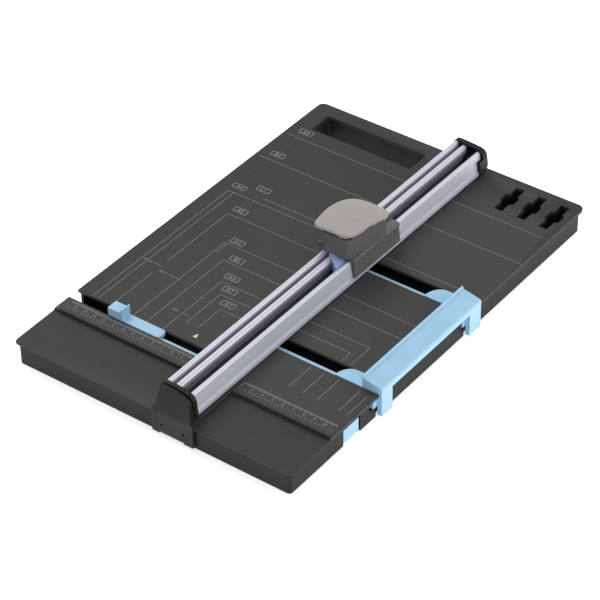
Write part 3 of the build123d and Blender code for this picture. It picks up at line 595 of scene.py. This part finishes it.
class TRIMMER_OT_print_lines(bpy.types.Operator):
    """Print the size lines on the board"""
    bl_idname = "trimmer.print_lines"
    bl_label = "Printed lines"

    def execute(self, context):
        sizes = context.scene.trimmer_sizes
        half = sizes.line_width / MM / 2
        strips = []
        for y, start, end in CROSS_LINES:
            for x0, x1 in ((start, min(end, RAIL_LEFT)), (RAIL_RIGHT, end)):
                if x0 < x1:
                    strips.append(patch(x0 - half, x1 + half, y - half, y + half))
        for x, back, front in UPRIGHT_LINES:
            strips.append(patch(x - half, x + half, front, back - half))
        for x, back in FRONT_TICKS:
            strips.append(patch(x - half, x + half, FRONT_TICK_END, back))
        for _, x, y, reach in SMALL_LABELS:
            strips.append(patch(x + 6.0, x + 6.0 + reach, y - half, y + half))
        lines = join(strips, "printed_size_lines")
        thicken(lines, sizes.ink_height)
        finish_piece(lines, "base", "deck_plastic", finish("ink"))
        return {"FINISHED"}


def label_frame(x, y, width, height, line):
    """A printed frame round a label: a rectangle about (x, y) with its middle cut away."""
    outline = patch(x - width / 2, x + width / 2, y - height / 2, y + height / 2)
    activate(outline)
    bpy.ops.object.mode_set(mode="EDIT")
    bpy.ops.mesh.select_all(action="SELECT")
    bpy.ops.mesh.inset(thickness=line)
    bpy.ops.mesh.delete(type="FACE")
    bpy.ops.object.mode_set(mode="OBJECT")
    return outline


class TRIMMER_OT_labels(bpy.types.Operator):
    """Print the framed paper sizes, the small photo sizes and the arrow at the stop"""
    bl_idname = "trimmer.labels"
    bl_label = "Size labels"

    def execute(self, context):
        sizes = context.scene.trimmer_sizes
        width, tall = sizes.label_width / MM, sizes.label_height / MM
        letters = sizes.label_height * LETTER_SHARE
        parts = []
        for text, x, y in FRAMED_LABELS:
            parts.append(label_frame(x, y, width, tall, FRAME_LINE))
            parts.append(lettering(text, x, y - letters / MM / 2, letters, "CENTER"))
        for text, x, y, _ in SMALL_LABELS:
            parts.append(lettering(text, x, y - 1.0, SMALL_LETTERS, "CENTER"))
        labels = join(parts, "printed_size_labels")
        thicken(labels, sizes.ink_height)
        finish_piece(labels, "base", "deck_plastic", finish("label_ink"))
        bpy.ops.object.select_all(action="DESELECT")
        bpy.ops.mesh.primitive_circle_add(vertices=3, radius=ARROW_RADIUS, fill_type="NGON",
                                          location=at(ARROW_X, ARROW_Y))
        arrow = bpy.context.object
        arrow.name = "printed_arrow"
        arrow.scale = (1.0, 1.5, 1.0)
        settle(arrow)
        thicken(arrow, sizes.ink_height)
        finish_piece(arrow, "base", "deck_plastic", finish("white_ink"))
        return {"FINISHED"}


def ruler_ticks(first, last, back, front, step):
    """A row of ticks from one place to the other, drawn once and repeated."""
    tick = patch(first - TICK_HALF, first + TICK_HALF, front, back)
    modify(tick, "ARRAY", count=int(abs(last - first) / abs(step)) + 1, use_relative_offset=False,
           use_constant_offset=True, constant_offset_displace=(step * MM, 0, 0))
    return tick


class TRIMMER_OT_ruler(bpy.types.Operator):
    """Print the ruler in front of the guide slot, counted both ways from the cutting line"""
    bl_idname = "trimmer.ruler"
    bl_label = "Ruler"

    def execute(self, context):
        sizes = context.scene.trimmer_sizes
        parts = []
        for side, end in RULER_ENDS.items():
            reach = abs(end - CUT_X)
            first = CUT_X + side * RULER_START
            short_end = RULER_BACK - TICK_LENGTH
            parts.append(ruler_ticks(first, end, RULER_BACK, short_end, side))
            parts.append(ruler_ticks(first, end, short_end, RULER_BACK - LONG_TICK_LENGTH, 5 * side))
            parts.append(ruler_ticks(first, end, RULER_FRONT + INCH_TICK_LENGTH, RULER_FRONT,
                                     INCH / 8 * side))
            for far in range(RULER_START, int(reach), 10):
                parts.append(lettering(str(far // 10), CUT_X + side * far,
                                       RULER_FRONT + NUMBER_OFFSET, SMALL_LETTERS, "CENTER"))
        ruler = join(parts, "printed_ruler")
        thicken(ruler, sizes.ink_height)
        finish_piece(ruler, "base", "deck_plastic", finish("label_ink"))
        return {"FINISHED"}


class TRIMMER_OT_plain_parts(bpy.types.Operator):
    """Give the parts that keep their frame shape their finishes"""
    bl_idname = "trimmer.plain_parts"
    bl_label = "Plain parts"

    def execute(self, context):
        looks = {
            "steel": ("cover_screws", "keeper_screws", "pinion_screw", "bracket_screws", "hinge_pin",
                      "hinge_bracket", "press_springs", "blade_axle", "head_pin"),
            "rail": ("rail_left", "rail_right"),
            "blade": ("blade",),
            "rubber": ("rubber_feet", "grip_strips"),
            "mat": ("cutting_mat",),
            "underside": ("front_keeper", "rear_keeper", "pinion_post"),
            "guide": ("pinion",),
        }
        for look, nodes in looks.items():
            for node in nodes:
                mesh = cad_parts[node].data
                mesh.materials.clear()
                mesh.materials.append(finish(look))
        return {"FINISHED"}


def soft_box(name, place, size, energy, colour):
    """A square light aimed at the middle of the board."""
    light = bpy.data.lights.new(name, "AREA")
    light.shape = "SQUARE"
    light.size = size
    light.energy = energy
    light.color = colour
    lamp = bpy.data.objects.new(name, light)
    lamp.location = place
    lamp.rotation_euler = (Vector((0, 0, 0)) - Vector(place)).to_track_quat("-Z", "Y").to_euler()
    bpy.context.scene.collection.objects.link(lamp)


class TRIMMER_OT_stage(bpy.types.Operator):
    """Set up the floor, the lights and the camera"""
    bl_idname = "trimmer.stage"
    bl_label = "Stage"

    def execute(self, context):
        scene = context.scene
        bpy.ops.object.select_all(action="DESELECT")
        bpy.ops.mesh.primitive_plane_add(size=FLOOR_SIZE, location=(0, 0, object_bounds()[0][2]))
        floor = bpy.context.object
        floor.name = "studio_floor"
        material, shader = new_material("white_floor")
        shader.inputs["Base Color"].default_value = (FLOOR_WHITE, FLOOR_WHITE, FLOOR_WHITE, 1)
        shader.inputs["Roughness"].default_value = 0.9
        shader.inputs["Emission Color"].default_value = (1.0, 1.0, 1.0, 1.0)
        shader.inputs["Emission Strength"].default_value = FLOOR_GLOW
        floor.data.materials.append(material)
        floor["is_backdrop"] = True
        world = bpy.data.worlds.new("pale_studio")
        world.use_nodes = True
        sky = world.node_tree.nodes["Background"]
        sky.inputs["Color"].default_value = (1.0, 1.0, 1.0, 1.0)
        sky.inputs["Strength"].default_value = SKY_STRENGTH
        scene.world = world
        for name, place, energy, colour in LIGHTS:
            soft_box(name, place, LIGHT_SIZE, energy, colour)
        camera = bpy.data.cameras.new("studio_camera")
        camera.lens = CAMERA_LENS
        camera.sensor_width = SENSOR_WIDTH
        viewer = bpy.data.objects.new("studio_camera", camera)
        viewer.location = CAMERA_PLACE
        viewer.rotation_euler = [radians(turn) for turn in CAMERA_TURN]
        scene.collection.objects.link(viewer)
        scene.camera = viewer
        scene.view_settings.view_transform = "Standard"
        return {"FINISHED"}


class TRIMMER_PT_panel(bpy.types.Panel):
    """Lists the steps that build the trimmer"""
    bl_label = "Paper Trimmer"
    bl_idname = "TRIMMER_PT_panel"
    bl_space_type = "VIEW_3D"
    bl_region_type = "UI"
    bl_category = "Trimmer"

    def draw(self, context):
        for step in STEPS:
            self.layout.operator(step.bl_idname)
        for settings in (context.scene.trimmer_sizes, context.scene.trimmer_colours):
            for key in settings.__annotations__:
                self.layout.prop(settings, key)


STEPS = (TRIMMER_OT_board, TRIMMER_OT_rail_caps, TRIMMER_OT_guides, TRIMMER_OT_head,
         TRIMMER_OT_print_lines, TRIMMER_OT_labels, TRIMMER_OT_ruler, TRIMMER_OT_plain_parts,
         TRIMMER_OT_stage)
CLASSES = (TrimmerSizes, TrimmerColours) + STEPS + (TRIMMER_PT_panel,)


def register():
    for item in CLASSES:
        bpy.utils.register_class(item)
    bpy.types.Scene.trimmer_sizes = bpy.props.PointerProperty(type=TrimmerSizes)
    bpy.types.Scene.trimmer_colours = bpy.props.PointerProperty(type=TrimmerColours)


def unregister():
    del bpy.types.Scene.trimmer_colours
    del bpy.types.Scene.trimmer_sizes
    for item in reversed(CLASSES):
        bpy.utils.unregister_class(item)


def main():
    register()
    for step in STEPS:
        group, name = step.bl_idname.split(".")
        getattr(getattr(bpy.ops, group), name)()


if __name__ == "__main__":
    main()
